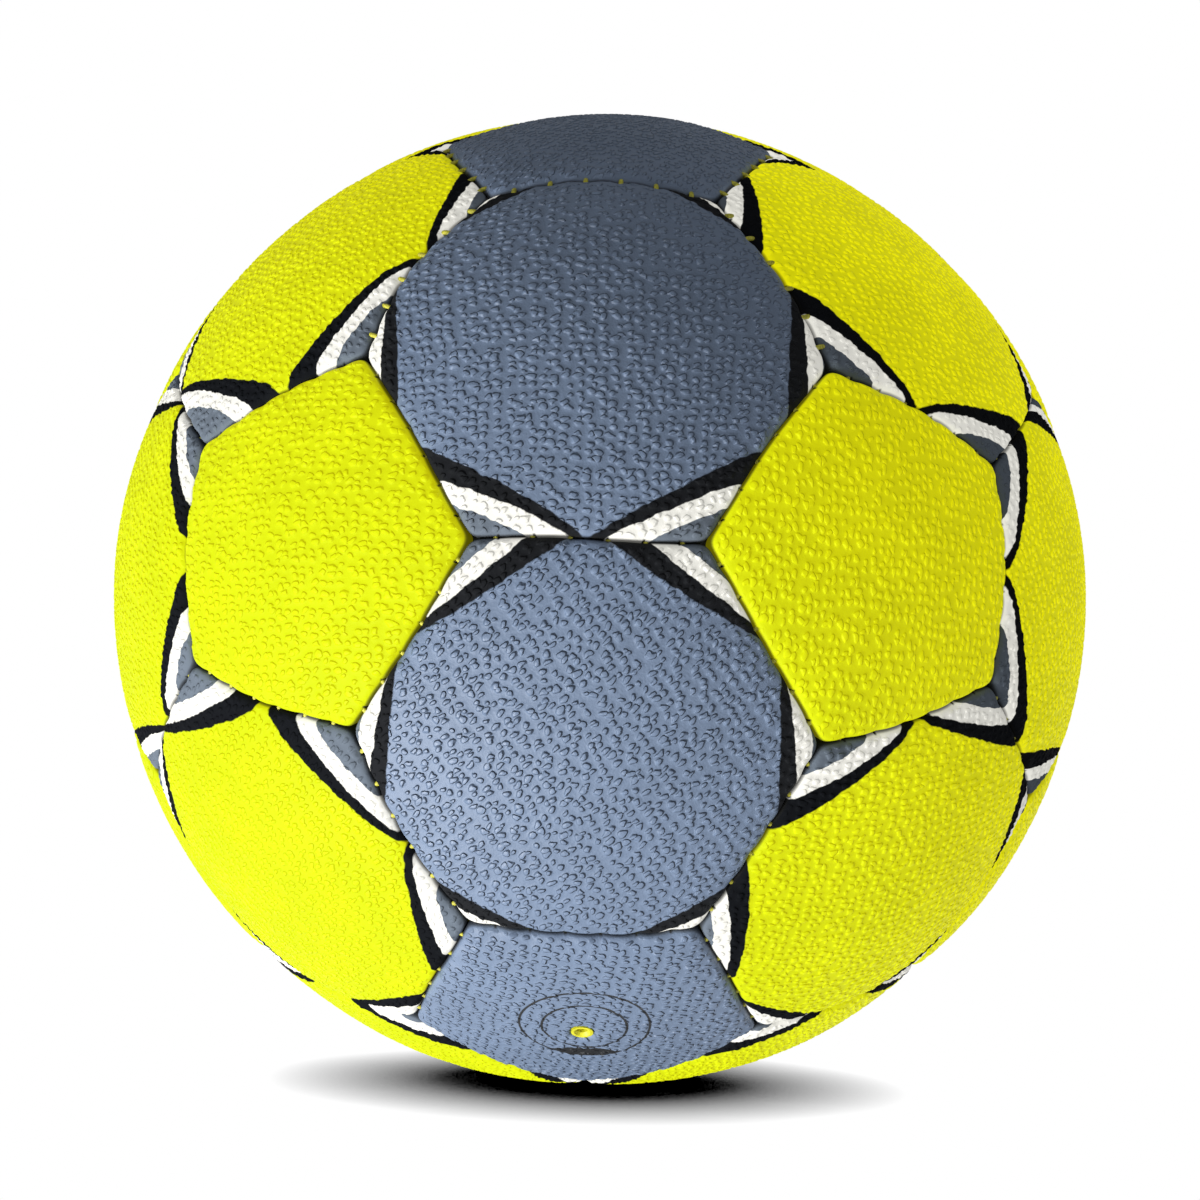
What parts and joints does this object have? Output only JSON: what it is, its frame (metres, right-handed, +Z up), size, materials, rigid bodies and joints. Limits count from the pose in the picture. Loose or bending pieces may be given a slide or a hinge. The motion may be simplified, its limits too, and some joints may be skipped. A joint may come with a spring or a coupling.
{
  "type": "handball",
  "caption": "Hand-sewn panelled handball with foam-backed grained covers, cloth lining, air bladder and a needle valve.",
  "frame": {"origin": "middle of the ball", "axes": "+Z up as in the picture, -Y towards the picture's camera, X along the seam in the middle of the front; each axis runs out through the middle of a seam between two hexagons"},
  "size_m": [0.187, 0.187, 0.187],
  "materials": {
    "yellow_cover": "embossed synthetic leather, satin",
    "grey_cover": "embossed synthetic leather, satin",
    "foam": "closed-cell foam",
    "lining": "woven cotton and polyester",
    "thread": "waxed thread",
    "bladder": "butyl rubber",
    "valve_rubber": "soft rubber"
  },
  "bodies": {
    "root": {"hex_panel_01": "yellow_cover", "hex_panel_02": "yellow_cover", "hex_panel_03": "yellow_cover", "hex_panel_04": "yellow_cover", "hex_panel_05": "yellow_cover", "hex_panel_06": "yellow_cover", "hex_panel_07": "grey_cover", "hex_panel_08": "grey_cover", "hex_panel_09": "yellow_cover", "hex_panel_10": "yellow_cover", "hex_panel_11": "yellow_cover", "hex_panel_12": "yellow_cover", "hex_panel_13": "grey_cover", "hex_panel_14": "grey_cover", "hex_panel_15": "yellow_cover", "hex_panel_16": "yellow_cover", "hex_panel_17": "yellow_cover", "hex_panel_18": "yellow_cover", "hex_panel_19": "yellow_cover", "hex_panel_20": "yellow_cover", "pent_panel_01": "grey_cover", "pent_panel_02": "grey_cover", "pent_panel_03": "yellow_cover", "pent_panel_04": "yellow_cover", "pent_panel_05": "yellow_cover", "pent_panel_06": "yellow_cover", "pent_panel_07": "yellow_cover", "pent_panel_08": "yellow_cover", "pent_panel_09": "yellow_cover", "pent_panel_10": "yellow_cover", "pent_panel_11": "grey_cover", "valve_panel": "grey_cover", "hex_foam_pads": "foam", "pent_foam_pads": "foam", "valve_foam_pad": "foam", "hex_linings": "lining", "pent_linings": "lining", "valve_lining": "lining", "hex_seam_threads": "thread", "top_bottom_pent_threads": "thread", "front_back_pent_threads": "thread", "side_pent_threads": "thread", "bladder": "bladder", "valve_boss": "bladder", "valve_plug": "valve_rubber"}
  },
  "joints": []
}
